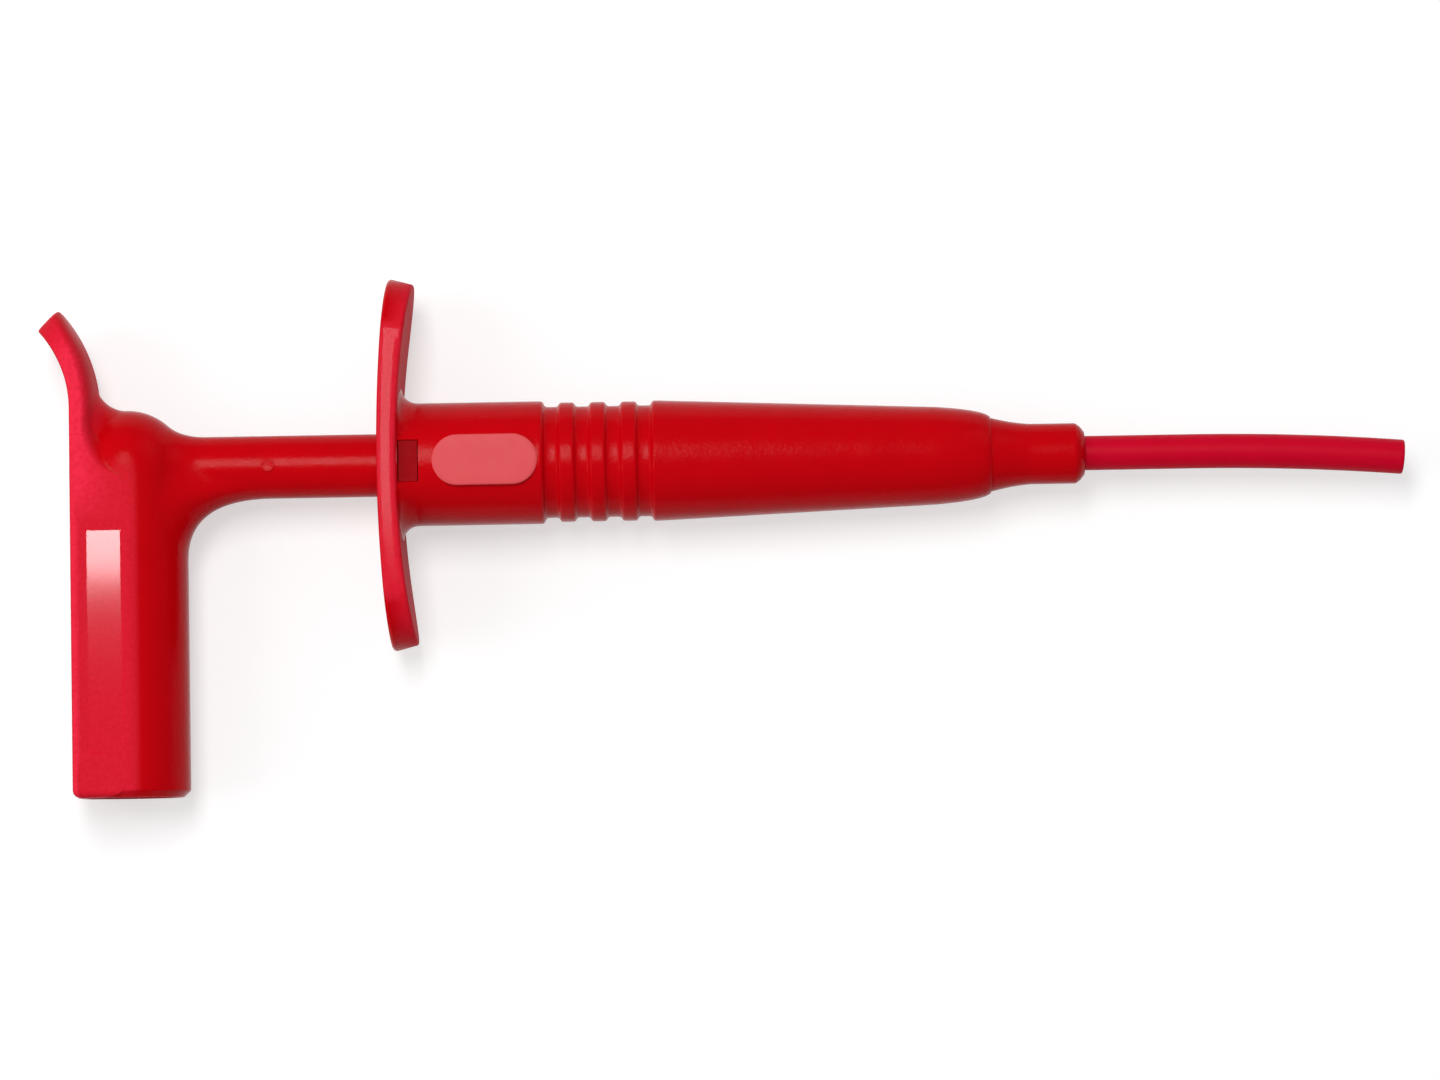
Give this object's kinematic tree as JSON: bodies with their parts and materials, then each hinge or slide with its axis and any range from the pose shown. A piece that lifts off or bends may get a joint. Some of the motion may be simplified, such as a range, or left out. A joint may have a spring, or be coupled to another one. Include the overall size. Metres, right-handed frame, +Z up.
{
  "type": "grabber test hook",
  "caption": "Push-handle grabber clip for test leads: T-handle with a shrouded 4 mm safety socket, finger flange, tapered barrel and bent insulating tube with retractable hook jaws",
  "frame": {"origin": "centre of the bounding box seen from above, at the surface the part lies on", "axes": "+X along the barrel axis towards the hook tip, +Y away from the socket leg towards the thumb wing, +Z up from the surface the part lies on"},
  "size_m": [0.1388, 0.0524, 0.0133],
  "materials": {
    "red_moulding": "semi-gloss moulded polyamide with a faint spark-eroded grain",
    "dark_red_moulding": "matt moulded polyamide",
    "crimson_tube": "soft extruded insulation, satin",
    "black_moulding": "plain moulded plastic",
    "nickelled_brass": "nickel-plated brass, turned",
    "bare_brass": "drawn brass",
    "spring_steel": "bright spring steel"
  },
  "bodies": {
    "barrel": {"barrel": "red_moulding", "guide_bush": "dark_red_moulding", "nose_piece": "red_moulding", "flexible_tube": "crimson_tube", "return_spring": "spring_steel"},
    "plunger": {"handle": "red_moulding", "socket_contact": "nickelled_brass", "finger_guard": "dark_red_moulding", "clamp_screw": "spring_steel", "core_rod": "bare_brass", "stop_collar": "black_moulding", "crimp_sleeve": "bare_brass", "core_cable": "bare_brass"},
    "hook_head": {"hook_head": "nickelled_brass"},
    "upper_jaw": {"upper_jaw": "spring_steel"},
    "lower_jaw": {"lower_jaw": "spring_steel"}
  },
  "joints": [
    {"name": "plunger_slide", "type": "slide", "parent": "barrel", "child": "plunger", "axis": [1, 0, 0], "range_m": [0, 0.01], "stiffness_N_per_m": 250, "springref_m": -0.012, "deforming": ["return_spring"]},
    {"name": "hook_head_follow", "type": "hinge", "parent": "barrel", "child": "hook_head", "pos_m": [0.04754, -0.24277, 0.00665], "axis": [0, 0, -1], "range_deg": [0, 2.3]},
    {"name": "upper_jaw_spread", "type": "hinge", "parent": "hook_head", "child": "upper_jaw", "pos_m": [0.05943, 0.00749, 0.00665], "axis": [0, 0, 1], "range_deg": [0, 8]},
    {"name": "lower_jaw_spread", "type": "hinge", "parent": "hook_head", "child": "lower_jaw", "pos_m": [0.05936, 0.00649, 0.00665], "axis": [0, 0, -1], "range_deg": [0, 8]}
  ],
  "couplings": [
    {"joint": "hook_head_follow", "follows": "plunger_slide", "rad_per_m": 4},
    {"joint": "upper_jaw_spread", "follows": "plunger_slide", "rad_per_m": 13.96},
    {"joint": "lower_jaw_spread", "follows": "plunger_slide", "rad_per_m": 13.96}
  ]
}
